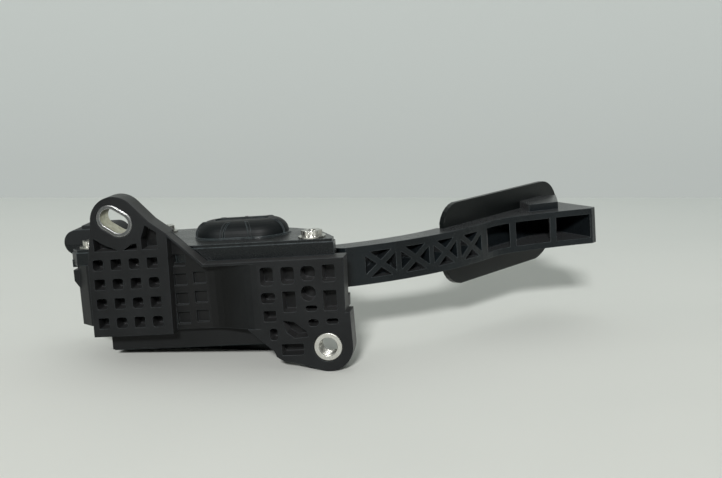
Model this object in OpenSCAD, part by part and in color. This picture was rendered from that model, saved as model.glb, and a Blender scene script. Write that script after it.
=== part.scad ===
// Accelerator pedal module with a contactless position sensor.
// It lies on its side as on a table: the mounting face looks along -Y, the pad is at +X.
// Origin: mouth centre of the round sleeve in the lower lug, on the mounting face.
// Everything is drawn in the pedal's own frame and then tipped by lie_angle, so that the
// lower lug and the belly rest on one level plane.

/* [Resting] */
// How far the module is tipped about Y as it rests
lie_angle = 4.2; // [2:0.1:6]

/* [Mounting holes] */
// Distance between the two holes along the module
hole_span_x = 103.8; // [100:0.1:108]
// Distance between the two holes across the module
hole_span_z = 69.3; // [67:0.1:72]
// Radius of both bores
bore_r = 4.75; // [4.2:0.05:5.2]
// Wall of the round sleeve
round_sleeve_wall = 2.75; // [2:0.05:3.2]
// Wall of the slotted sleeve
slot_sleeve_wall = 2; // [1.5:0.05:2.4]
// Distance between the two arc centres of the slot
slot_travel = 6; // [3:0.1:8]
// Radius of the upper lug
upper_lug_r = 12.4; // [11.8:0.1:14]
// Radius of the lower lug
lower_lug_r = 12.6; // [11.8:0.1:14]

/* [Housing] */
// Depth of the mounting plate and of both sleeves
plate_depth = 13.5; // [12.5:0.1:14]
// Clearance between the arm and the housing's rim, where the sensor cover sits
rim_gap = 0.4; // [0.3:0.1:2]
// Lower edge of the plate's left part
plate_bottom_z = 10; // [8:0.1:12]
// Wall of the housing shell
wall = 2.5; // [2:0.1:3]
// How far the plate's middle part is set back
middle_setback = 8; // [6:0.1:9]
// Depth of the square core pockets
pocket_depth = 10; // [6:0.1:10.5]
// Side of a square core pocket
pocket_w = 5.6; // [4.5:0.1:6]
// Pitch of the square pockets along the module
pocket_pitch_x = 9.47; // [9:0.01:9.8]
// Pitch of the square pockets across the module
pocket_pitch_z = 10.07; // [9.5:0.01:10.4]
// Floor of the hub chamber
chamber_floor_z = 23.2; // [22.4:0.1:23.4]

/* [Sensor cover] */
// Height of the cover's side
cover_h = 8.2; // [7.6:0.1:9]
// Half length of the dome at its base
dome_half_l = 24.6; // [24:0.1:26]
// Half width of the dome at its base
dome_w = 15; // [14.4:0.1:16]
// Half width of the dome's flat top
dome_top_w = 6.4; // [6:0.1:8]
// Height of the dome
dome_h = 8.5; // [8.2:0.1:11]
// Number of ribs on the dome
dome_ribs = 7; // [5:1:9]
// Radius of a cover screw's flange
screw_flange_r = 7; // [6:0.1:7.2]
// Radius of a cover screw's head
screw_head_r = 5.1; // [4.4:0.1:5.4]

/* [Connector] */
// Half height of the oval connector shell
connector_r = 6.6; // [6.4:0.1:7]
// Wall of the connector shell
connector_wall = 1.4; // [1.2:0.1:1.6]
// Depth of the connector shell from back to mouth
connector_depth = 33; // [30:0.5:36]
// Number of terminals
terminal_count = 6; // [4:1:6]

/* [Pivot] */
// Radius of the pivot pin
pin_r = 4; // [3.5:0.05:4.2]
// Radius of the hub
hub_r = 16; // [14:0.1:16.5]
// Wall of a bush
bush_wall = 2.4; // [2:0.1:3]

/* [Pedal arm] */
// Width of the arm, across the module
arm_w = 20.6; // [19.6:0.1:20.8]
// Height of the arm's lower side
arm_z = 24; // [24:0.1:24.2]
// Wall above and below the open pockets
arm_wall = 3.4; // [2.4:0.1:3.6]
// Width of a brace bar
brace_w = 3.1; // [2:0.1:3.6]
// Depth of the braced pockets
brace_depth = 7.5; // [4:0.1:8]
// Rib between two of the deep pockets
tail_rib = 3.5; // [2.5:0.1:4.5]

/* [Pad] */
// Angle of the pad, seen from above the arm
pad_angle = 56.5; // [56:0.1:57]
// Length of the pad
pad_length = 121; // [116:0.5:126]
// Width of the pad
pad_w = 46; // [42:0.5:50]
// Thickness of the pad
pad_t = 3.2; // [2.5:0.1:4.5]

/* [Return springs] */
// Mean radius of the outer spring
outer_spring_r = 7.4; // [7:0.1:7.6]
// Wire radius of the outer spring
outer_wire_r = 0.9; // [0.6:0.05:1]
// Mean radius of the inner spring
inner_spring_r = 4.4; // [4.2:0.1:4.6]
// Wire radius of the inner spring
inner_wire_r = 0.6; // [0.4:0.05:0.7]

/* [Hidden] */
$fn = 72;

// Clearances: fixed fits, running fits, and the gap between faces that must not meet
fixed_fit = 0.02;
running_fit = 0.05;
gap = 0.3;

// Colours as seen
black_plastic = [0.17, 0.18, 0.19];
cover_plastic = [0.14, 0.16, 0.16];
arm_plastic = [0.19, 0.2, 0.21];
pad_plastic = [0.11, 0.13, 0.12];
zinc = [0.78, 0.78, 0.76];

// Height of the housing's rim
rim_z = arm_z + arm_w + rim_gap;

// Centre of the upper mounting hole; the lower one is at the origin
slot_hole = [-hole_span_x, hole_span_z];
slot_angle = -atan(hole_span_z / hole_span_x);

// Plate corners, in x and z on the mounting face
left_low = [-120.4, plate_bottom_z];
left_high = [-119.7, 47.8];
block_right_x = -78.8;
ramp_end_x = -33;
ramp_start_x = -60;
right_edge_x = 10.9;
step_z = 17.3;
side_wall_y = 20;
middle_bottom_z = plate_bottom_z + 0.5;
lip_t = 1.3;
// The slope in front of the cover is a thin wall
slope_depth = middle_setback + 1.2;

// Square pockets of the left block
square_first = [-114.5, 17];
square_columns = 4;
square_rows = 4;

// Pockets of the right block: centre x, centre z, width, height, corner radius
right_pockets = [
    [-28.3, 37.2, 6.7, 9.3, 1.6], [-17.7, 37.3, 6.8, 8.7, 1.6], [-7.4, 37.9, 7.4, 7.4, 2.6],
    [3, 37.5, 6.6, 8.7, 1], [-28.4, 26.2, 7.4, 5.4, 1.8], [-17.8, 23.9, 6.7, 10.6, 0.6],
    [2.8, 23.7, 6.9, 10.4, 0.6], [-28.2, 16.9, 6.5, 5.5, 0.6], [-27, 7.5, 4, 6, 1.4],
    [-18, -0.6, 11.4, 5.8, 0.8]];
// Round pockets: centre x, centre z, half width, half height
round_pockets = [[-7.9, 27.8, 3.9, 3.9], [-6.9, 20.1, 3, 1.4], [-6.4, 12.7, 2.75, 1.9],
    [3.2, 13.1, 3.1, 1.4]];

// Pivot of the pedal, in x and y
pivot = [-47.5, 40];
hub_z = arm_z + 1;
hub_top_z = arm_z + arm_w - 1;
bush_r = pin_r + running_fit + bush_wall;
bush_h = 7.6;

// Outlines of the shell from above, anticlockwise: upper chamber, lower body and cover
shell_front_y = plate_depth - 0.1;
shell_back_y = 72.5;
shell_left_x = -133;
upper_outline = [[4.5, shell_front_y], [4.5, 17], [-6.5, 42], [-21.5, 54], [-40, 66],
    [-56, shell_back_y], [-120, shell_back_y], [-131, 64], [shell_left_x, 50],
    [shell_left_x, 20], [-126, shell_front_y]];
lower_outline = [[-15.4, shell_front_y], [-15.4, 50], [-22, 62], [-40, 71], [-56, shell_back_y], [-108, shell_back_y], [-116, 62], [-116, shell_front_y]];
cover_front_y = middle_setback + 1.8;
cover_left_x = -135;
cover_outline = [[5.2, cover_front_y], [5.2, plate_depth + 3], [-6.5, 42], [-21.5, 54],
    [-40, 66], [-56, shell_back_y], [-120, shell_back_y], [-131, 66], [cover_left_x, 54],
    [cover_left_x, 20], [-131, plate_depth + 1.5], [block_right_x + 2.2, plate_depth + 1.5],
    [block_right_x + 2.2, cover_front_y]];
left_end_z = 13;
chamber_floor_t = 2.5;

// Belly below the shell: its underside lies in the plane that the lower lug touches
belly_front_y = 15;
belly_knee = [36, -5.5];
belly_foot_y = 43;
rest_z = -lower_lug_r;

// Cover screws, x and y, and what they go through
screw_front = [-6.8, 17.8];
screw_left = [-124.5, 23.4];
screw_rear = [-97, 64];
screw_middle = [-67, 64];
cover_top_z = rim_z + cover_h;
cover_top_t = 1.8;
cover_step = 0.7;
cover_step_h = 1.6;
shank_r = 1.7;
shank_length = 17;
screw_boss_r = 3.6;
screw_flange_h = 0.9;
screw_head_h = 2.8;

// Foot and inside of the dome
dome_flange_h = 0.6;
dome_base_z = cover_top_z + 1.2;
dome_top_z = cover_top_z + dome_h;
dome_rim_w = 1.4;
dome_rib_h = 0.8;
dome_straight = dome_half_l - dome_w;
dome_cavity_w = dome_w - 3.6;
board_t = 1.6;
board_z = cover_top_z + 1.5;
board_w = dome_cavity_w - 0.4;
board_bore_r = 8;
inner_dome_w = dome_top_w + 1;
dome_rib_w = 1.5;
pin_socket_r = pin_r + 2.4;
pin_top_z = cover_top_z + 5;
pin_bottom_z = 2;
rotor_r = 12;
rotor_top_z = rim_z + 4;
magnet_h = 2;
chip_h = 1.2;

// Connector: centre of the left arc, back face and the straight stretch between the arcs
connector_x = -136.4;
connector_z = 55;
connector_back_y = 31;
connector_span = 13;
socket_depth = 16;
terminal_w = 0.8;
terminal_pitch = connector_span / (terminal_count - 1);
lead_z = rim_z + 4.4;
lead_end_x = pivot[0] - rotor_r - 4;

// Pedal arm seen from above: front and back curves
arm_mid_z = arm_z + arm_w / 2;
front_start = [8, 30];
front_bend = [80, 92.5];
front_tail = [95, 108.8];
tail_tip = [140, 126];
tail_heel = [142, 130];
tail_back = [122.5, 160];
back_start = [1, 42.6];
arm_bend_r = 140;
tail_bend_r = 41;
tail_sweep_r = 275;
back_bend_r = 110;
pad_foot = [54.7, 76];
pad_dir = [cos(pad_angle), sin(pad_angle)];
pad_out = [-sin(pad_angle), cos(pad_angle)];
pad_end = pad_foot + 112 * pad_dir;
pad_start = 3.6;
arm_heel = pad_foot + (pad_start - gap) * pad_dir;
arm_heel_out = arm_heel + (pad_t + 1.6) * pad_out;
front_curve = arc(front_start, front_bend, arm_bend_r, 16);
bay_marks = [16, 34, 50.6, 64.6, 77.3];
boss_h = 4.2;

// Return springs stand between the hub's lever and the back wall
spring_x = -82;
spring_z = arm_mid_z;
lever_front_y = 19.3;
lever_back_y = 30;
lever_end_x = -92.5;
cup_r = 9.3;
cup_t = 1.6;
cup_rim = 1.6;
cup_post_r = 3.2;
seat_y = shell_back_y - wall;
press_angle = 13;

// Turns everything from the pedal's own frame to the way it rests
module lie() rotate([0, -lie_angle, 0]) children();

// Extrudes an outline drawn in x and z from y0 back to y1
module slab(y0, y1) translate([0, y1, 0]) rotate([90, 0, 0]) linear_extrude(y1 - y0) children();

// Extrudes an outline drawn in x and y from z0 up to z1
module plan(z0, z1) translate([0, 0, z0]) linear_extrude(z1 - z0) children();

// Everything above a level height, where the module rests
module above(z) translate([-400, -400, z]) cube([800, 800, 400]);

// Upright cylinder at a point seen from above
module post(p, r, z0, z1) translate([p[0], p[1], z0]) cylinder(r = r, h = z1 - z0);

// Rectangle with round corners
module rounded(w, h, r) {
    square([w - 2 * r, h], center = true);
    square([w, h - 2 * r], center = true);
    for (sx = [-1, 1], sz = [-1, 1])
        translate([sx * (w / 2 - r), sz * (h / 2 - r)]) circle(r, $fn = 16);
}

// Two circles joined by a straight stretch along x
module stadium(span, r) {
    translate([-span / 2, 0]) circle(r);
    translate([span / 2, 0]) circle(r);
    square([span, 2 * r], center = true);
}

// Points of a round stretch from p to q; the centre is on the left for r above 0
function arc(p, q, r, n = 10) =
    let (h = norm(q - p) / 2, u = (q - p) / (2 * h), s = r < 0 ? -1 : 1)
    let (c = (p + q) / 2 + s * sqrt(r * r - h * h) * [-u[1], u[0]])
    let (a = atan2(p[1] - c[1], p[0] - c[0]), turn = s * 2 * asin(h / abs(r)))
    [for (i = [0 : n]) c + abs(r) * [cos(a + turn * i / n), sin(a + turn * i / n)]];

// Point of a curve where it passes a given x
function at_x(curve, x) =
    let (k = [for (i = [0 : len(curve) - 2]) if (curve[i][0] <= x && x <= curve[i + 1][0]) i][0])
    let (p = curve[k], q = curve[k + 1])
    p + (q - p) * (x - p[0]) / (q[0] - p[0]);

// A point turned about the pivot
function pressed(p, a) =
    let (d = p - pivot)
    pivot + [d[0] * cos(a) + d[1] * sin(a), d[1] * cos(a) - d[0] * sin(a)];

function corner(p, i) = p[(i + len(p)) % len(p)];
function heading(p, i) = let (v = corner(p, i + 1) - corner(p, i)) v / norm(v);
// An anticlockwise outline moved inward by d on every side
function inset(p, d) = [for (i = [0 : len(p) - 1])
    let (a = heading(p, i - 1), b = heading(p, i))
    corner(p, i) + (b - a) * d / (a[0] * b[1] - a[1] * b[0])];

// Upper lug and left block of the plate
module left_block() {
    slab(0, plate_depth) {
        translate(slot_hole) circle(upper_lug_r);
        polygon([slot_hole + [-upper_lug_r + 0.1, 1], left_high, left_low,
            [block_right_x, plate_bottom_z], [block_right_x + 1.4, 61.6],
            [-86, 68.2], slot_hole + upper_lug_r * [cos(42), sin(42)]]);
    }
}

// Middle of the plate, set back and ramped forward to the right block
module middle_plate() {
    ramp = [for (i = [0 : 8]) [ramp_start_x + (ramp_end_x - ramp_start_x) * i / 8,
        middle_setback * (1 + cos(22.5 * i)) / 2]];
    plan(middle_bottom_z, rim_z)
        polygon(concat([[block_right_x - 1, middle_setback]], ramp,
            [[ramp_end_x + 1, plate_depth], [block_right_x - 1, plate_depth]]));
    slab(middle_setback, slope_depth)
        polygon([[block_right_x - 1, rim_z - 1], [block_right_x - 1, 62],
            [block_right_x + 1.8, 61.3], [ramp_start_x - 0.3, rim_z], [ramp_start_x - 1, rim_z - 1]]);
    // Thin lip along the slope and the top edge
    slab(0, slope_depth)
        polygon([[block_right_x + 1.2, 61.6 - lip_t], [block_right_x + 1.2, 61.6],
            [ramp_start_x, rim_z], [ramp_start_x - lip_t * 0.4, rim_z - lip_t]]);
    slab(0, plate_depth) translate([ramp_start_x - 0.5, rim_z - lip_t])
        square([ramp_end_x - ramp_start_x + 1, lip_t]);
}

// Right block and lower lug
module right_block() {
    slab(0, plate_depth) {
        circle(lower_lug_r);
        polygon([[ramp_end_x, rim_z], [ramp_end_x, middle_bottom_z], [-40, middle_bottom_z],
            [-27.6, -1.2], [-26.4, -4.2], [-23.7, -6.1], [-17.2, -7.5],
            lower_lug_r * [sin(-12), -cos(12)], [0, 0], [lower_lug_r, 0],
            [lower_lug_r - 0.3, step_z], [10, step_z], [right_edge_x, rim_z - 3],
            [right_edge_x, rim_z]]);
    }
    // Ledge and side wall below the arm
    slab(plate_depth - 0.1, side_wall_y)
        polygon([[-20, chamber_floor_z], [10.3, chamber_floor_z], [10, step_z], [-20, step_z]]);
}

module square_pockets() {
    for (i = [0 : square_columns - 1], j = [0 : square_rows - 1])
        translate([square_first[0] + i * pocket_pitch_x, 0, square_first[1] + j * pocket_pitch_z])
            slab(-1, pocket_depth)
                rounded(pocket_w, pocket_w, (i + j) % 2 == 0 ? 0.6 : 1.4);
}

// Open cores between the lug and the square pockets
module lug_pockets() {
    slab(-1, pocket_depth) {
        polygon([[-115.6, 61], [-115.6, 54.2], [-103, 54.2], [-105.5, 55.4], [-110.4, 57.6]]);
        polygon([[-100.6, 54.2], [-93.2, 54.2], [-93.2, 57.4], [-96, 57.2]]);
        polygon([[-90.8, 54.2], [-82.6, 54.2], [-82.6, 62.6], [-88.2, 66.4], [-90.8, 60]]);
    }
}

// Two columns of shallow cores in the middle plate
module middle_pockets() {
    for (i = [0, 1], j = [0 : 3 - i])
        translate([-74.6 + 10 * i, 0, 16.4 + 0.6 * i + 10 * j])
            slab(0, middle_setback + 2.4) rounded(6.6, 6.2, 0.6);
}

module right_block_pockets() {
    slab(-1, pocket_depth) {
        for (p = right_pockets) translate([p[0], p[1]]) rounded(p[2], p[3], p[4]);
        for (p = round_pockets) translate([p[0], p[1]])
            stadium(2 * (p[2] - p[3]) + 0.01, p[3], $fn = 32);
        polygon([[-22, 14.4], [-16.5, 13.6], [-10.4, 8.6], [-9.6, 5.6], [-16.4, 5.2], [-20.4, 8.2]]);
    }
}

// Shell behind the plate: hub chamber above, hollow body below
module shell() {
    difference() {
        union() {
            plan(chamber_floor_z - chamber_floor_t, rim_z) polygon(upper_outline);
            plan(left_end_z, chamber_floor_z) intersection() {
                polygon(upper_outline);
                translate([-200, 0]) square([100, 100]);
            }
            plan(0, chamber_floor_z) polygon(lower_outline);
            // Ear under the cover's left end, slanted on its underside
            slab(19, 30) polygon([[shell_left_x + 1, rim_z - 2.8], [cover_left_x, rim_z - 2.8],
                [cover_left_x, 36.4], [shell_left_x + 1, 32]]);
        }
        plan(chamber_floor_z, rim_z + 1) polygon(inset(upper_outline, wall));
        plan(-1, chamber_floor_z - chamber_floor_t) polygon(inset(lower_outline, wall));
        // Way out for the arm, from the full stop to the rest position
        plan(chamber_floor_z, rim_z + 1)
            polygon([[-20, shell_front_y + wall], [-3, shell_front_y + wall],
                [-3, plate_depth], [30, plate_depth], [30, 33],
                back_start + [0, 1.6], [-30, 53], [-30, 30]]);
    }
    // Boss for the pivot pin, tied to the walls by two webs
    post(pivot, pin_r + 4, 0, chamber_floor_z);
    intersection() {
        plan(0, chamber_floor_z - 1) polygon(inset(lower_outline, 1));
        union() {
            translate([pivot[0] - 1, 0, 0]) cube([2, 100, 30]);
            translate([-130, pivot[1] - 1, 0]) cube([150, 2, 30]);
        }
    }
    // Bosses for the cover screws
    for (p = [screw_left, screw_rear, screw_middle])
        post(p, screw_boss_r, chamber_floor_z - 1, rim_z);
    post(screw_front, screw_boss_r, chamber_floor_z - 1, rim_z);
    plan(chamber_floor_z - 1, rim_z) {
        translate([screw_front[0] - 2, plate_depth - 0.2])
            square([4, screw_front[1] - plate_depth]);
        translate([screw_rear[0] - 2, screw_rear[1]]) square([4, shell_back_y - screw_rear[1] - 1]);
        translate([screw_middle[0] - 2, screw_middle[1]])
            square([4, shell_back_y - screw_middle[1] - 1]);
        translate([shell_left_x + 1, screw_left[1] - 1.5])
            square([screw_left[0] - shell_left_x - 1, 3]);
    }
    // Bosses for the screws of the lower cover
    for (p = belly_screws) post(p, 4, 0, chamber_floor_z - 1);
}
belly_screws = [[-106, 60], [-62, 63], [-25, 54]];
belly_shank_r = 1.6;
belly_thread_z = 12;

module mount_housing() color(black_plastic) lie() difference() {
    union() {
        left_block();
        middle_plate();
        right_block();
        shell();
    }
    slab(-1, plate_depth + 8) {
        circle(bore_r + round_sleeve_wall + fixed_fit);
        translate(slot_hole) rotate(slot_angle)
            stadium(slot_travel, bore_r + slot_sleeve_wall + fixed_fit);
    }
    square_pockets();
    lug_pockets();
    middle_pockets();
    right_block_pockets();
    post(pivot, pin_r + fixed_fit, pin_bottom_z, chamber_floor_z + 1);
    for (p = [screw_front, screw_left, screw_rear, screw_middle])
        post(p, shank_r + fixed_fit, cover_top_z - shank_length - 1, rim_z + 1);
    for (p = belly_screws) post(p, belly_shank_r + fixed_fit, -1, belly_thread_z + 0.5);
}

module upper_slot_sleeve() color(zinc) lie() difference() {
    union() {
        slab(0.5, plate_depth - 0.5) translate(slot_hole) rotate(slot_angle)
            stadium(slot_travel, bore_r + slot_sleeve_wall);
        slab(0, plate_depth) translate(slot_hole) rotate(slot_angle)
            stadium(slot_travel, bore_r + slot_sleeve_wall - 0.4);
    }
    slab(-1, plate_depth + 1) translate(slot_hole) rotate(slot_angle)
        stadium(slot_travel, bore_r);
}

module lower_round_sleeve() color(zinc) lie() rotate([-90, 0, 0]) rotate_extrude()
    polygon([[bore_r, 0], [bore_r + round_sleeve_wall - 0.6, 0],
        [bore_r + round_sleeve_wall, 0.6], [bore_r + round_sleeve_wall, plate_depth - 0.6],
        [bore_r + round_sleeve_wall - 0.6, plate_depth], [bore_r, plate_depth]]);

// Side view of the belly, in y and z, extruded along x
module belly_prism(points) translate([-130, 0, 0]) rotate([90, 0, 90])
    linear_extrude(160) polygon(points);

module lower_cover() color(black_plastic) difference() {
    intersection() {
        lie() intersection() {
            plan(-30, 0) polygon(inset(lower_outline, 0.4));
            belly_prism([[belly_front_y, 0], [belly_front_y, -0.8], belly_knee,
                [belly_foot_y, -30], [80, -30], [80, 0]]);
        }
        above(rest_z);
    }
    // Hollow that continues the lower body
    intersection() {
        lie() intersection() {
            plan(-30, 1) polygon(inset(lower_outline, wall));
            belly_prism([[belly_foot_y, 1], [belly_foot_y, -1.5], [belly_foot_y + wall, -30],
                [80, -30], [80, 1]]);
            difference() {
                plan(-30, 1) square(400, center = true);
                for (p = belly_screws) post(p, 5, -31, 2);
            }
        }
        above(rest_z + 2);
    }
    lie() for (p = belly_screws) {
        post(p, belly_shank_r + fixed_fit, -30, 1);
        post(p, 3.2 + gap, -30, belly_head_z(p) + 2.2);
    }
}

// Height at which a belly screw's head sits, 1 mm above the resting plane
function belly_head_z(p) = (rest_z - p[0] * sin(lie_angle)) / cos(lie_angle) + 1.2;

module lower_cover_screws() color(zinc) lie() for (p = belly_screws) {
    post(p, belly_shank_r, belly_head_z(p) + 1, belly_thread_z);
    post(p, 3.2, belly_head_z(p), belly_head_z(p) + 2.2);
}

// Curve of the dome's side from its foot to its top
function dome_curve(grow) = [for (i = [0 : 8])
    [dome_top_w + (dome_w - dome_top_w + grow) * cos(11.25 * i),
        dome_base_z + (dome_top_z - dome_base_z + grow) * sin(11.25 * i)]];

// A side view turned round both ends of the oval dome and carried straight between them
module oval_turn(points) {
    for (s = [-1, 1]) translate([s * dome_straight, 0, 0]) rotate([0, 0, -90 * s])
        rotate_extrude(angle = 180) polygon(points);
    translate([-dome_straight, 0, 0]) rotate([90, 0, 90]) linear_extrude(2 * dome_straight)
        polygon(concat(points, [for (i = [len(points) - 2 : -1 : 1]) [-points[i][0], points[i][1]]]));
}

// Upright oval body round the dome's centre
module oval_post(w, z0, z1) translate([pivot[0], pivot[1], 0]) plan(z0, z1)
    stadium(2 * dome_straight, w);

module dome() translate([pivot[0], pivot[1], 0]) {
    // Body with a raised rim round its flat top
    oval_turn(concat([[0, cover_top_z - 1], [dome_w, cover_top_z - 1]], dome_curve(0),
        [[dome_top_w - dome_rim_w, dome_top_z], [dome_top_w - dome_rim_w, dome_top_z - 0.8],
            [0, dome_top_z - 0.8]]));
    // Ribs from the foot up to the rim
    intersection() {
        oval_turn(concat([[0, cover_top_z - 0.8], [dome_w + dome_rib_h, cover_top_z - 0.8]],
            dome_curve(dome_rib_h), [[0, dome_top_z + dome_rib_h]]));
        difference() {
            for (i = [0 : dome_ribs - 1]) rotate([0, 0, -117 + i * 360 / dome_ribs])
                translate([4, -dome_rib_w / 2, cover_top_z - 0.6]) cube([30, dome_rib_w, dome_h + 0.3]);
            plan(0, 100) stadium(2 * dome_straight, dome_top_w + 1);
        }
    }
    // Flange round the foot, lower than where the curve starts
    plan(cover_top_z - 0.5, cover_top_z + dome_flange_h)
        stadium(2 * dome_straight, dome_w + 1.2);
}

module connector_outline(r) translate([connector_x + connector_span / 2, connector_z])
    stadium(connector_span, r);

module connector_body() slab(connector_back_y, connector_back_y + connector_depth)
    connector_outline(connector_r);

module sensor_cover() color(cover_plastic) lie() difference() {
    union() {
        difference() {
            union() {
                plan(rim_z, cover_top_z - cover_step_h) polygon(cover_outline);
                plan(cover_top_z - cover_step_h - 0.1, cover_top_z)
                    polygon(inset(cover_outline, cover_step));
                // Left ear with the skirt that hangs over the shell's ear
                slab(19, 30) translate([cover_left_x, rim_z - 1.2]) square([2.6, 4]);
                dome();
            }
            plan(rim_z - 3, cover_top_z - cover_top_t)
                polygon(inset(cover_outline, wall));
            oval_post(dome_cavity_w, rim_z - 1, board_z + board_t);
            oval_post(inner_dome_w, rim_z - 1, dome_top_z - 2.6);
        }
        for (p = [screw_front, screw_left, screw_rear, screw_middle])
            intersection() {
                post(p, screw_boss_r + 0.6, rim_z, cover_top_z - 1);
                plan(rim_z, cover_top_z) polygon(inset(cover_outline, 0.2));
            }
        post(pivot, pin_socket_r, cover_top_z, dome_top_z - 1.4);
    }
    post(pivot, pin_r + fixed_fit, cover_top_z - 1, pin_top_z + 0.3);
    for (p = [screw_front, screw_left, screw_rear, screw_middle])
        post(p, shank_r + 0.1, rim_z - 4, cover_top_z + 1);
    connector_body();
    leads();
}

// One cover screw: flange, lobed head and shank, with the flange on the cover
module cover_screw(p) color(zinc) lie() translate([p[0], p[1], cover_top_z]) difference() {
    union() {
        cylinder(r = screw_flange_r, h = screw_flange_h);
        cylinder(r = screw_head_r * 0.9, h = screw_flange_h + screw_head_h);
        for (i = [0 : 5]) rotate([0, 0, 60 * i])
            translate([screw_head_r * 0.76, 0, 0])
                cylinder(r = screw_head_r * 0.3, h = screw_flange_h + screw_head_h, $fn = 24);
        translate([0, 0, -shank_length]) cylinder(r = shank_r, h = shank_length + 1);
    }
    translate([0, 0, screw_flange_h + screw_head_h - 1]) cylinder(r = screw_head_r * 0.45, h = 2);
}
module cover_screw_front() cover_screw(screw_front);
module cover_screw_left() cover_screw(screw_left);
module cover_screw_rear() cover_screw(screw_rear);
module cover_screw_middle() cover_screw(screw_middle);

module connector_shell() color(cover_plastic) lie() difference() {
    union() {
        connector_body();
        // Latch ramp on top
        slab(connector_back_y + 1, connector_back_y + 14)
            translate([connector_x + connector_span / 2 - 3, connector_z + connector_r - 1])
                square([6, 3]);
    }
    slab(connector_back_y + connector_depth - socket_depth, 100)
        connector_outline(connector_r - connector_wall);
    leads();
}

// Terminals in the socket and their strips to the sensor board
module leads() for (i = [0 : terminal_count - 1]) {
    x = connector_x + i * terminal_pitch;
    y = 36 + 2 * i;
    w = terminal_w / 2;
    translate([x - w, y - w, connector_z - w])
        cube([2 * w, connector_back_y + connector_depth - 8 - y + w, 2 * w]);
    translate([x - w, y - w, lead_z - w]) cube([2 * w, 2 * w, connector_z - lead_z + 2 * w]);
    translate([x - w, y - w, lead_z - w]) cube([lead_end_x - x + 2 * w, 2 * w, 2 * w]);
    translate([lead_end_x - w, y - w, lead_z - w]) cube([2 * w, 2 * w, board_z - lead_z + w]);
}

module terminal_leads() color([0.72, 0.6, 0.32]) lie() leads();

module sensor_board() color([0.12, 0.32, 0.2]) lie() difference() {
    oval_post(board_w, board_z, board_z + board_t);
    post(pivot, board_bore_r, board_z - 1, board_z + board_t + 1);
}

module hall_chips() color([0.1, 0.1, 0.1]) lie() for (a = [35, 215])
    translate([pivot[0], pivot[1], 0]) rotate([0, 0, a])
        translate([board_bore_r + 1, -2.2, board_z - chip_h]) cube([4.4, 4.4, chip_h]);

module pivot_pin() color(zinc) lie() post(pivot, pin_r, pin_bottom_z, pin_top_z);

module thrust_washer() color([0.75, 0.7, 0.55]) lie() difference() {
    post(pivot, pin_r + 7, chamber_floor_z, hub_z - gap);
    post(pivot, pin_r + 0.3, chamber_floor_z - 1, hub_z + 1);
}

module idle_stop_pad() color([0.1, 0.1, 0.1]) lie()
    translate([spring_x - 7, plate_depth + wall - 0.1, spring_z - 6])
        cube([14, lever_front_y - gap - plate_depth - wall + 0.1, 12]);

// The stop's face lies along the pressed arm
module full_stop_pad() color([0.1, 0.1, 0.1]) lie() {
    p = pressed(notch_end, press_angle + 0.4);
    q = pressed(front_start, press_angle + 0.4);
    plan(arm_z + 1, arm_z + arm_w - 2) polygon([[p[0] - 1, plate_depth],
        [q[0] + 1, plate_depth], q + [1, 0] - [0, gap], p - [1, gap]]);
}
notch_end = [2.6, 31.4];

// Sprung side of the spring: a dished plate with a locating post, along +y or -y
module spring_dish(t, way) {
    rotate([-90 * way, 0, 0]) difference() {
        cylinder(r = cup_r, h = t + cup_rim);
        translate([0, 0, t]) difference() {
            cylinder(r = cup_r - 0.8, h = 5);
            translate([0, 0, -1]) cylinder(r = cup_post_r, h = 7);
        }
    }
}

module spring_seat() color(arm_plastic) lie()
    translate([spring_x, seat_y, spring_z]) spring_dish(cup_t + 1, -1);

module spring_cup() color(arm_plastic) lie()
    translate([spring_x, lever_back_y, spring_z]) spring_dish(cup_t, 1);

// Coil of round wire along y, swept ring by ring
module coil(r, wire_r, y0, y1, turns) {
    steps = 14;
    sides = 8;
    n = round(turns * steps);
    rise = (y1 - y0 - 2 * wire_r) / n;
    rings = [for (k = [0 : n], s = [0 : sides - 1])
        let (a = 360 * k / steps, b = 360 * s / sides, d = r + wire_r * cos(b))
        [d * cos(a), y0 + wire_r + rise * k + wire_r * sin(b), d * sin(a)]];
    quads = [for (k = [0 : n - 1], s = [0 : sides - 1])
        let (t = (s + 1) % sides)
        [k * sides + s, k * sides + t, (k + 1) * sides + t, (k + 1) * sides + s]];
    ends = [[for (s = [sides - 1 : -1 : 0]) s], [for (s = [0 : sides - 1]) n * sides + s]];
    polyhedron(points = rings, faces = concat(quads, ends), convexity = 10);
}

spring_from = lever_back_y + cup_t + gap;
spring_to = seat_y - cup_t - 1 - gap;

module outer_return_spring() color([0.6, 0.6, 0.6]) lie() translate([spring_x, 0, spring_z])
    coil(outer_spring_r, outer_wire_r, spring_from, spring_to, 6.5);

module inner_return_spring() color([0.66, 0.66, 0.66]) lie() translate([spring_x, 0, spring_z])
    coil(inner_spring_r, inner_wire_r, spring_from, spring_to, 9.5);

// Outline of the arm seen from above
module arm_plan() {
    polygon(concat([[-44, 26], [-24, 33.5], [-4.5, 35], notch_end], front_curve,
        arc(front_bend, front_tail, -tail_bend_r, 5), arc(front_tail, tail_tip, -tail_sweep_r, 6),
        [tail_heel, tail_back, pad_end, arm_heel],
        arc(arm_heel_out, back_start, -back_bend_r, 10),
        [[-12, 44.4], [-30, 49], [-44, 54]]));
}

// One braced bay: four triangular holes around a crossed brace
module bay(x0, x1) {
    p = at_x(front_curve, x0);
    q = at_x(front_curve, x1);
    w = norm(q - p) - brace_w;
    h = arm_w - 2 * arm_wall;
    translate([(p[0] + q[0]) / 2, (p[1] + q[1]) / 2, arm_mid_z])
        rotate([0, 0, atan2(q[1] - p[1], q[0] - p[0])]) slab(-3, brace_depth) difference() {
            square([w, h], center = true);
            for (s = [-1, 1]) rotate(s * atan(h / w)) square([2 * w, brace_w], center = true);
        }
}

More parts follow.
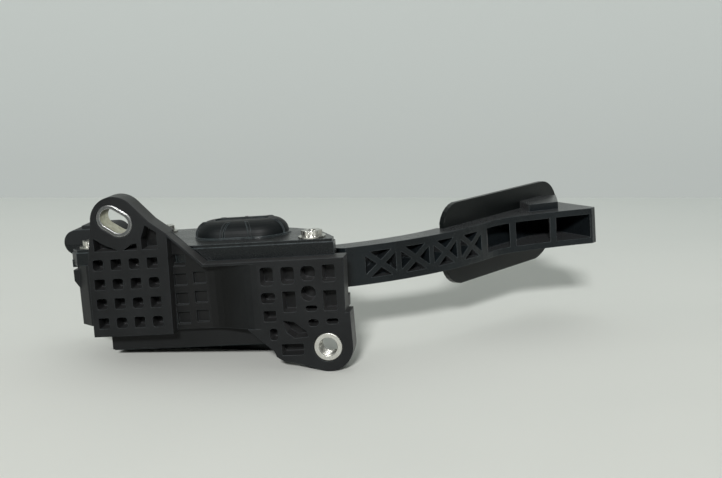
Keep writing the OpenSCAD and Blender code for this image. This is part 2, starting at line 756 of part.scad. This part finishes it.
// Inner side of the wall behind the deep pockets, at a given x
function pocket_back(x) =
    let (p = pad_foot - 3 * pad_out)
    p[1] + (x - p[0]) * tan(pad_angle);

// Three deep pockets in the tail
module tail_pockets() plan(arm_z + arm_wall, arm_z + arm_w - arm_wall) {
    r = tail_rib / 2;
    first = bay_marks[4] + brace_w / 2 + 0.6;
    ribs = [94, 117.2];
    polygon([[first, 70], [ribs[0] - r, 70], [ribs[0] - r, pocket_back(ribs[0] - r)],
        [first, pocket_back(first)]]);
    polygon([[ribs[0] + r, 70], [ribs[1] - r, 70], [ribs[1] - r, pocket_back(ribs[1] - r) - 1],
        [ribs[0] + r, pocket_back(ribs[0] + r)]]);
    polygon([[ribs[1] + r, 70], [tail_tip[0] - r + 0.5, 70],
        [tail_tip[0] - r + 0.5, tail_heel[1] - 1.5], tail_back - [2, 4], [ribs[1] + r, tail_back[1] - 4]]);
}

module pedal_arm() color(arm_plastic) lie() difference() {
    union() {
        plan(arm_z, arm_z + arm_w) arm_plan();
        post(pivot, hub_r, hub_z, hub_top_z);
        // Lever that carries the return springs
        plan(hub_z + 1, hub_top_z - 1) polygon([[lever_end_x, lever_front_y],
            [-64, lever_front_y], [-46, 25.4], [-46, 54], [-58, 50], [-66, 36],
            [-72, lever_back_y], [lever_end_x, lever_back_y]]);
        // Raised boss between the arm's top side and the pad
        plan(arm_z + arm_w - 1, arm_z + arm_w + boss_h) polygon([[104, 125], [121, 131],
            [121, 161], pad_foot + 106 * pad_dir, pad_foot + 80 * pad_dir]);
    }
    // The arm is thinner between the hub's faces
    difference() {
        union() {
            post(pivot, 24, arm_z - 1, hub_z);
            post(pivot, 24, hub_top_z, arm_z + arm_w + 1);
        }
        post([pivot[0] + 60, pivot[1]], 34, 0, 100);
    }
    post(pivot, bush_r + fixed_fit, 0, 100);
    for (i = [0 : 3]) bay(bay_marks[i], bay_marks[i + 1]);
    tail_pockets();
}

// Outline of the pad in its own plane: along the pad and across it
module pad_outline() {
    h = pad_w / 2;
    near = 9.8;
    polygon(concat(arc([pad_start, -h + near], [16, -h], 15, 5),
        arc([pad_length - 27, -h], [pad_length - 4, -h + 16], 32, 8),
        arc([pad_length, h - 13], [pad_length - 17, h], 16, 8),
        arc([16, h], [pad_start, h - near], 15, 5)));
}

module pedal_pad() color(pad_plastic) lie() translate([pad_foot[0], pad_foot[1], arm_mid_z])
    rotate([0, 0, pad_angle]) slab(0, pad_t) pad_outline();

module bush(z0) color([0.7, 0.68, 0.6]) lie() difference() {
    post(pivot, bush_r, z0, z0 + bush_h);
    post(pivot, pin_r + running_fit, z0 - 1, z0 + bush_h + 1);
}
module upper_bush() bush(hub_top_z - bush_h);
module lower_bush() bush(hub_z);

module magnet_rotor() color(arm_plastic) lie() difference() {
    post(pivot, rotor_r, hub_top_z, rotor_top_z);
    post(pivot, pin_r + gap, hub_top_z - 1, rotor_top_z + 1);
}

module rotor_magnets() color([0.35, 0.35, 0.37]) lie() translate([pivot[0], pivot[1], rotor_top_z])
    for (a = [5, 185]) rotate([0, 0, a]) rotate_extrude(angle = 170)
        translate([rotor_r - 4.5, 0]) square([4, magnet_h]);

mount_housing();
upper_slot_sleeve();
lower_round_sleeve();
lower_cover();
lower_cover_screws();
sensor_cover();
cover_screw_front();
cover_screw_left();
cover_screw_rear();
cover_screw_middle();
connector_shell();
terminal_leads();
sensor_board();
hall_chips();
pivot_pin();
thrust_washer();
idle_stop_pad();
full_stop_pad();
spring_seat();
outer_return_spring();
inner_return_spring();
pedal_arm();
pedal_pad();
upper_bush();
lower_bush();
magnet_rotor();
rotor_magnets();
spring_cup();
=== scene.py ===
import math

import bmesh
import bpy
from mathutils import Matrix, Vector


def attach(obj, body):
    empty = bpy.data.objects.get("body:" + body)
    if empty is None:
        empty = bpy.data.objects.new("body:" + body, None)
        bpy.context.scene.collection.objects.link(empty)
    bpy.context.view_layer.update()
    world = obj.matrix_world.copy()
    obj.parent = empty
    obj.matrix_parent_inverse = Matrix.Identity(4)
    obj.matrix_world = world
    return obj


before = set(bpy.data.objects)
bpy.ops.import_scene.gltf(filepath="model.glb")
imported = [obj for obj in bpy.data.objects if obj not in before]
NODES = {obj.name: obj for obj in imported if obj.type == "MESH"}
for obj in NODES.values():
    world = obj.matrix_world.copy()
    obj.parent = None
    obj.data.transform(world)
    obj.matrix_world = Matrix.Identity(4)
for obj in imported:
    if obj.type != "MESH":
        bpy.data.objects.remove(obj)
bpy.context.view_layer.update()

MM = 0.001
LIE = math.radians(4.2)  # turn about Y from the pedal's own frame to the row frame
REST_Z = -0.0126  # height of the surface that the pedal lies on


def lie(x, y, z):
    """A point of the pedal's own frame, in millimetres, as it lies in the row frame."""
    return Vector((x * math.cos(LIE) - z * math.sin(LIE), y,
                   x * math.sin(LIE) + z * math.cos(LIE))) * MM


# Materials

EDGE_RADIUS = 0.00045  # of the softened edges of a moulding
PLATED_EDGE = 0.0003
SLEEVE_EDGE = 0.0005
POCKET_MOUTH = (0.001, 0.006)  # Y over which the plate's pockets turn to their painted shade
POCKET_END = (0.0145, 0.0125)  # Y over which that painted shade ends, at the plate's back
MOUTH_FACE = (0.0006, 0.0012)  # Y over which the slotted sleeve's face tone ends
DOME_FOOT = 0.0538  # height in the pedal's own frame from which the dome is matt
DOME_BLEND = 0.0006
BRUSHED = 0.00002  # depth of the marks in plated steel
# Colour of the painted highlight on plated edges.
PAINTED_EDGE_HIGHLIGHT = (0.9, 0.9, 0.88, 1)


def colour(r, g, b):
    """A colour as seen on screen, 0 to 255, as the shader's linear numbers."""
    def one(v):
        v /= 255
        return v / 12.92 if v <= 0.04045 else ((v + 0.055) / 1.055) ** 2.4
    return (one(r), one(g), one(b), 1)


class Nodes:
    """Short calls for building a material's nodes."""

    def __init__(self, name):
        self.mat = bpy.data.materials.new(name)
        self.mat.use_nodes = True
        self.tree = self.mat.node_tree
        self.tree.nodes.clear()
        self.out = self.tree.nodes.new("ShaderNodeOutputMaterial")

    def feed(self, socket, value):
        """Links the value to the socket, or sets it there where it is a plain number."""
        if isinstance(value, bpy.types.NodeSocket):
            self.tree.links.new(value, socket)
        else:
            socket.default_value = value

    def add(self, kind, **inputs):
        node = self.tree.nodes.new(kind)
        for key, value in inputs.items():
            self.feed(node.inputs[key.replace("_", " ")], value)
        return node

    def points(self):
        return self.add("ShaderNodeTexCoord").outputs["Object"]

    def noise(self, scale, detail, roughness, points):
        return self.add("ShaderNodeTexNoise", Vector=points, Scale=scale, Detail=detail,
                        Roughness=roughness).outputs["Fac"]

    def span(self, value, low, high, to_low=0.0, to_high=1.0):
        """The value from low to high, mapped to to_low to to_high and held at both ends."""
        node = self.tree.nodes.new("ShaderNodeMapRange")
        node.clamp = True
        for key, v in (("Value", value), ("From Min", low), ("From Max", high),
                       ("To Min", to_low), ("To Max", to_high)):
            self.feed(node.inputs[key], v)
        return node.outputs["Result"]

    def maths(self, kind, a, b):
        node = self.tree.nodes.new("ShaderNodeMath")
        node.operation = kind
        self.feed(node.inputs[0], a)
        self.feed(node.inputs[1], b)
        return node.outputs[0]

    def blend(self, factor, a, b):
        node = self.tree.nodes.new("ShaderNodeMix")
        node.data_type = "RGBA"
        for name, v in (("Factor", factor), ("A", a), ("B", b)):
            self.feed([s for s in node.inputs if s.name == name and s.enabled][0], v)
        return [s for s in node.outputs if s.enabled][0]

    def edges(self, radius):
        """Soft normals at the edges, and a mask that is 1 on them."""
        bevel = self.add("ShaderNodeBevel", Radius=radius)
        bevel.samples = 6
        flat = self.add("ShaderNodeNewGeometry").outputs["Normal"]
        dot = self.tree.nodes.new("ShaderNodeVectorMath")
        dot.operation = "DOT_PRODUCT"
        self.feed(dot.inputs[0], bevel.outputs[0])
        self.feed(dot.inputs[1], flat)
        return bevel.outputs[0], self.span(dot.outputs["Value"], 0.995, 0.88)

    def bump(self, height, strength, distance, normal):
        return self.add("ShaderNodeBump", Height=height, Strength=strength,
                        Distance=distance, Normal=normal).outputs[0]

    def surface(self, **inputs):
        shader = self.add("ShaderNodeBsdfPrincipled", **inputs)
        self.feed(self.out.inputs["Surface"], shader.outputs[0])
        return self.mat


def moulded(name, base, worn, rough, grain=2600.0, grain_depth=0.00008, dust=0.5,
            shine=0.24, sheen=0.05, rim_wear_and_highlight_tone=None, painted_pocket_shade=None, matte_from=None):
    """Moulded plastic or rubber: fine spark grain, flow clouds, a little dust and paler
    edges, partly rubbed and partly a painted highlight. The pocket tone is a painted shade
    at the depth of the plate's pockets, and matte_from the height above which the surface is
    rougher."""
    n = Nodes(name)
    points = n.points()
    clouds = n.noise(38.0, 4.0, 0.6, points)
    specks = n.noise(1500.0, 2.0, 0.5, points)
    fine = n.noise(grain, 3.0, 0.55, points)
    rim_patches = n.noise(260.0, 3.0, 0.6, points)
    normal, rim = n.edges(EDGE_RADIUS)

    tone = n.blend(n.span(clouds, 0.35, 0.7, 0.0, dust), base, worn)
    tone = n.blend(n.span(specks, 0.62, 0.75, 0.0, 0.35 * dust), tone, worn)
    # Painted shade: a darker tone from the pockets' mouth back to the plate's back.
    if painted_pocket_shade:
        depth = n.add("ShaderNodeSeparateXYZ", Vector=points).outputs["Y"]
        pocket_shade_mask = n.maths("MULTIPLY", n.span(depth, *POCKET_MOUTH), n.span(depth, *POCKET_END))
        tone = n.blend(pocket_shade_mask, tone, painted_pocket_shade)
    # Rims take a paler tone: partly rubbed plastic, partly a painted highlight where edges
    # catch the light.
    rim_wear_and_highlight = n.maths("MULTIPLY", rim, n.span(rim_patches, 0.3, 0.65, 0.15, 0.7))
    tone = n.blend(rim_wear_and_highlight, tone, rim_wear_and_highlight_tone or worn)

    roughness = n.maths("ADD", n.span(clouds, 0.3, 0.7, rough - 0.05, rough + 0.06),
                        n.span(fine, 0.3, 0.7, -0.03, 0.05))
    if matte_from:
        place = n.add("ShaderNodeSeparateXYZ", Vector=points)
        height = n.maths("SUBTRACT", n.maths("MULTIPLY", place.outputs["Z"], math.cos(LIE)),
                         n.maths("MULTIPLY", place.outputs["X"], math.sin(LIE)))
        matte = n.span(height, matte_from, matte_from + DOME_BLEND, 0, 0.3)
        roughness = n.maths("ADD", roughness, matte)
    return n.surface(Base_Color=tone, Roughness=roughness, Specular_IOR_Level=shine,
                     Sheen_Weight=sheen, Sheen_Roughness=0.35,
                     Normal=n.bump(fine, 0.35, grain_depth, normal))


def plated(name, base, dark, rough, face=None):
    """Plated metal: a slightly cloudy coat with fine marks and a painted highlight on the
    edges. face is the tone of a sleeve's front face."""
    n = Nodes(name)
    points = n.points()
    clouds = n.noise(420.0, 4.0, 0.6, points)
    marks = n.noise(2400.0, 3.0, 0.6, points)
    normal, rim = n.edges(SLEEVE_EDGE if face else PLATED_EDGE)

    tone = n.blend(n.span(clouds, 0.35, 0.68, 0.0, 0.7), base, dark)
    if face:
        depth = n.add("ShaderNodeSeparateXYZ", Vector=points).outputs["Y"]
        tone = n.blend(n.span(depth, *MOUTH_FACE), face, tone)
    # Painted highlight on the edges, strongest on the sleeves' faces.
    tone = n.blend(n.span(rim, 0.2, 0.9, 0.0, 0.9 if face else 0.35), tone, PAINTED_EDGE_HIGHLIGHT)

    roughness = n.maths("ADD", n.span(clouds, 0.3, 0.7, rough - 0.05, rough + 0.1),
                        n.span(marks, 0.3, 0.7, -0.04, 0.06))
    return n.surface(Base_Color=tone, Roughness=roughness, Metallic=1.0,
                     Normal=n.bump(marks, 0.5, BRUSHED, normal))


# The rim tones of housing, cover and arm are partly a painted highlight on rubbed edges.
MATERIALS = {
    # housing: its pocket tone is a painted shade in the plate's pockets.
    "housing": moulded("housing_plastic", colour(9, 11, 12), colour(27, 30, 31), 0.4,
                       dust=0.3, shine=0.2, rim_wear_and_highlight_tone=colour(58, 64, 66), painted_pocket_shade=colour(4, 5, 5)),
    "cover": moulded("cover_plastic", colour(8, 12, 13), colour(20, 26, 28), 0.27,
                     dust=0.25, shine=0.22, sheen=0.03, rim_wear_and_highlight_tone=colour(96, 106, 108),
                     matte_from=DOME_FOOT),
    "arm": moulded("arm_plastic", colour(13, 17, 19), colour(31, 38, 41), 0.27,
                   dust=0.25, rim_wear_and_highlight_tone=colour(88, 94, 96)),
    "pad": moulded("pad_plastic", colour(6, 9, 9), colour(20, 25, 24), 0.36,
                   grain=1500.0, grain_depth=0.00016, dust=0.25),
    "zinc": plated("zinc_plated_steel", colour(205, 205, 200), colour(164, 162, 152), 0.27),
    "slot": plated("slot_sleeve_steel", colour(196, 192, 172), colour(150, 144, 120), 0.3,
                   face=colour(96, 98, 98)),
    "pin": plated("pin_steel", colour(176, 178, 180), colour(140, 142, 145), 0.2),
    "spring": plated("spring_steel", colour(120, 122, 124), colour(70, 70, 72), 0.3),
    "brass": plated("terminal_brass", colour(205, 176, 100), colour(150, 122, 66), 0.3),
    "rubber": moulded("stop_rubber", colour(26, 26, 27), colour(48, 48, 49), 0.7,
                      grain=1800.0),
    "bush": moulded("bush_plastic", colour(196, 188, 160), colour(170, 160, 132), 0.4,
                    dust=0.4),
    "magnet": plated("magnet_nickel", colour(110, 110, 112), colour(86, 86, 88), 0.35),
    "chip": moulded("chip_black", colour(24, 24, 25), colour(46, 46, 47), 0.5, dust=0.3),
    "board": moulded("board_green", colour(30, 84, 52), colour(52, 110, 74), 0.35, dust=0.5),
}
FINISH = {
    "housing": ("mount_housing",),
    "cover": ("lower_cover", "sensor_cover", "connector_shell"),
    "arm": ("pedal_arm",),
    "pad": ("pedal_pad",),
    "slot": ("upper_slot_sleeve",),
    "zinc": ("lower_round_sleeve", "lower_cover_screws", "cover_screw_front",
             "cover_screw_left", "cover_screw_rear", "cover_screw_middle"),
    "brass": ("terminal_leads",),
    "board": ("sensor_board",),
    "chip": ("hall_chips",),
    "pin": ("pivot_pin", "spring_seat", "spring_cup"),
    "bush": ("thrust_washer", "upper_bush", "lower_bush", "magnet_rotor"),
    "rubber": ("idle_stop_pad", "full_stop_pad"),
    "spring": ("outer_return_spring", "inner_return_spring"),
    "magnet": ("rotor_magnets",),
}
for finish, names in FINISH.items():
    for name in names:
        mesh = NODES[name].data
        mesh.materials.clear()
        mesh.materials.append(MATERIALS[finish])


# Small pieces that the solids leave out, in millimetres of the pedal's own frame

RING_STARTS = (1.6, 3.4, 5.2, 7.0, 8.8, 10.6)  # along the round sleeve's bore
RING_SECTION = ((4.8, 0.0), (4.42, 0.35), (4.38, 0.7), (4.42, 1.05), (4.8, 1.4),
                (4.95, 0.7))  # radius, distance along the bore
RING_STEPS = 72

PAD_ANGLE = math.radians(56.5)
PAD_X, PAD_Y, PAD_Z = 54.7, 76, 34.3  # the pad's inner end, at half its width
PAD_FACE = 3.2  # from there out to the foot side
BAR_FIRST, BAR_PITCH = 17, 7
BAR_REACHES = [16.5] * 11 + [15.95, 15.4]  # half the length of each bar
BAR_SECTION = ((-1.3, -0.2), (1.3, -0.2), (1.0, 0.5), (0.5, 0.8), (-0.5, 0.8), (-1.0, 0.5))


def new_object(name, bm, material):
    mesh = bpy.data.meshes.new(name)
    bm.to_mesh(mesh)
    bm.free()
    obj = bpy.data.objects.new(name, mesh)
    bpy.context.scene.collection.objects.link(obj)
    mesh.materials.append(material)
    return obj


def bore_rings():
    """Turned grooves inside the round sleeve, each a closed ring about the Y axis."""
    axis = Vector((0, 1, 0))
    side = axis.orthogonal().normalized()
    other = axis.cross(side)
    count = len(RING_SECTION)
    bm = bmesh.new()
    for start in RING_STARTS:
        rings = []
        for i in range(RING_STEPS):
            a = 2 * math.pi * i / RING_STEPS
            out = side * math.cos(a) + other * math.sin(a)
            rings.append([bm.verts.new(out * r * MM + axis * (start + d) * MM)
                          for r, d in RING_SECTION])
        for i in range(RING_STEPS):
            a, b = rings[i], rings[(i + 1) % RING_STEPS]
            for k in range(count):
                m = (k + 1) % count
                bm.faces.new((a[k], a[m], b[m], b[k])).smooth = True
    bmesh.ops.recalc_face_normals(bm, faces=bm.faces)
    return new_object("sleeve_bore_rings", bm, MATERIALS["zinc"])


def pad_ribs():
    """Grip bars across the foot side of the pad, lower towards their ends."""
    along = Vector((math.cos(PAD_ANGLE), math.sin(PAD_ANGLE), 0))
    out = Vector((-math.sin(PAD_ANGLE), math.cos(PAD_ANGLE), 0))
    count = len(BAR_SECTION)
    bm = bmesh.new()
    for k, reach in enumerate(BAR_REACHES):
        rings = []
        for z, rise in ((-reach, 0.2), (-reach + 1.2, 0.8), (-reach + 3, 1.0),
                        (reach - 3, 1.0), (reach - 1.2, 0.8), (reach, 0.2)):
            ring = []
            for u, v in BAR_SECTION:
                at = Vector((PAD_X, PAD_Y, PAD_Z + z))
                at += along * (BAR_FIRST + BAR_PITCH * k + u)
                at += out * (PAD_FACE + (v * rise if v > 0 else v))
                ring.append(bm.verts.new(lie(*at)))
            rings.append(ring)
        for one, two in zip(rings, rings[1:]):
            for m in range(count):
                bm.faces.new((one[m], one[(m + 1) % count], two[(m + 1) % count], two[m]))
        bm.faces.new(rings[0])
        bm.faces.new(rings[-1])
    bmesh.ops.recalc_face_normals(bm, faces=bm.faces)
    return new_object("pad_grip_bars", bm, MATERIALS["pad"])


for obj, body, slot in ((bore_rings(), "housing", "zinc_steel"),
                        (pad_ribs(), "pedal", "pad_plastic")):
    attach(obj, body)


# Floor, backdrop, light and camera

EYE = Vector((0.086305, -0.576675, 0.152239))
YAW = math.radians(6.9)
PITCH = math.radians(80.5)
FOCAL_PX, WIDTH_PX, SENSOR = 1200, 722, 36.0
PAINTED_FALLOFF_FROM, PAINTED_FALLOFF_TO = -0.45, 0.8  # Y over which the floor's painted fall-off of light runs
FLOOR_AHEAD, FLOOR_BEHIND = 1.25, 4.5  # from the camera along its view
WALL_BACK = 0.35  # from the floor's far edge
HALF_WIDTH = 4
WALL_LOW, WALL_HIGH = Vector((0, 0, -1)), Vector((0, 0, 3))


def stage_material(name, near, far):
    """A plain pale matt sheet whose tone changes evenly along Y, a painted fall-off of light
    where near and far differ.
    """
    n = Nodes(name)
    split = n.add("ShaderNodeSeparateXYZ", Vector=n.points())
    clouds = n.noise(5.0, 2.0, 0.5, n.points())
    tone = n.blend(n.span(split.outputs["Y"], PAINTED_FALLOFF_FROM, PAINTED_FALLOFF_TO), near, far)
    tone = n.blend(n.span(clouds, 0.35, 0.65, 0.0, 0.12), tone, far)
    return n.surface(Base_Color=tone, Roughness=0.8)


def sheet(name, corners, material):
    bm = bmesh.new()
    bm.faces.new([bm.verts.new(c) for c in corners])
    obj = new_object(name, bm, material)


ahead = Vector((-math.sin(YAW), math.cos(YAW), 0))
aside = Vector((math.cos(YAW), math.sin(YAW), 0)) * HALF_WIDTH
under_eye = Vector((EYE.x, EYE.y, REST_Z))
far_edge = under_eye + ahead * FLOOR_AHEAD
near_edge = under_eye - ahead * FLOOR_BEHIND
wall_foot = far_edge + ahead * WALL_BACK
# The floor is painted paler near the camera and darker further back, a painted fall-off of
# light.
sheet("floor", [far_edge - aside, near_edge - aside, near_edge + aside, far_edge + aside],
      stage_material("floor_sheet", colour(238, 238, 231), colour(189, 194, 190)))
sheet("wall", [wall_foot - aside + WALL_LOW, wall_foot + aside + WALL_LOW,
               wall_foot + aside + WALL_HIGH, wall_foot - aside + WALL_HIGH],
      stage_material("wall_sheet", colour(168, 173, 170), colour(168, 173, 170)))

world = bpy.data.worlds.new("room")
bpy.context.scene.world = world
world.use_nodes = True
background = world.node_tree.nodes["Background"]
background.inputs["Color"].default_value = (0.93, 0.97, 0.95, 1)
background.inputs["Strength"].default_value = 0.18


def place(name, data, location, rotation):
    obj = bpy.data.objects.new(name, data)
    bpy.context.scene.collection.objects.link(obj)
    obj.location = location
    obj.rotation_euler = rotation
    return obj


def lamp(name, location, target, size, power):
    data = bpy.data.lights.new(name, "AREA")
    data.shape = "RECTANGLE"
    data.size, data.size_y = size
    data.energy = power
    aim = (Vector(target) - Vector(location)).to_track_quat("-Z", "Y").to_euler()
    place(name, data, location, aim)


lamp("key_softbox", (0.05, -18.1, 8.24), (0.05, 0.1, 0), (2.6, 1.75), 4560.0)
lamp("top_softbox", (0.0, 0.3, 1.5), (0, 0.1, 0), (1.0, 0.7), 1.5)
lamp("back_softbox", (0.1, 0.85, 0.95), (0, 0.1, 0), (1.2, 0.4), 0.6)

camera_data = bpy.data.cameras.new("camera")
camera_data.sensor_width = SENSOR
camera_data.lens = SENSOR * FOCAL_PX / WIDTH_PX
camera_data.clip_start, camera_data.clip_end = 0.01, 20
bpy.context.scene.camera = place("camera", camera_data, EYE, (PITCH, 0, YAW))
bpy.context.scene.view_settings.view_transform = "Standard"
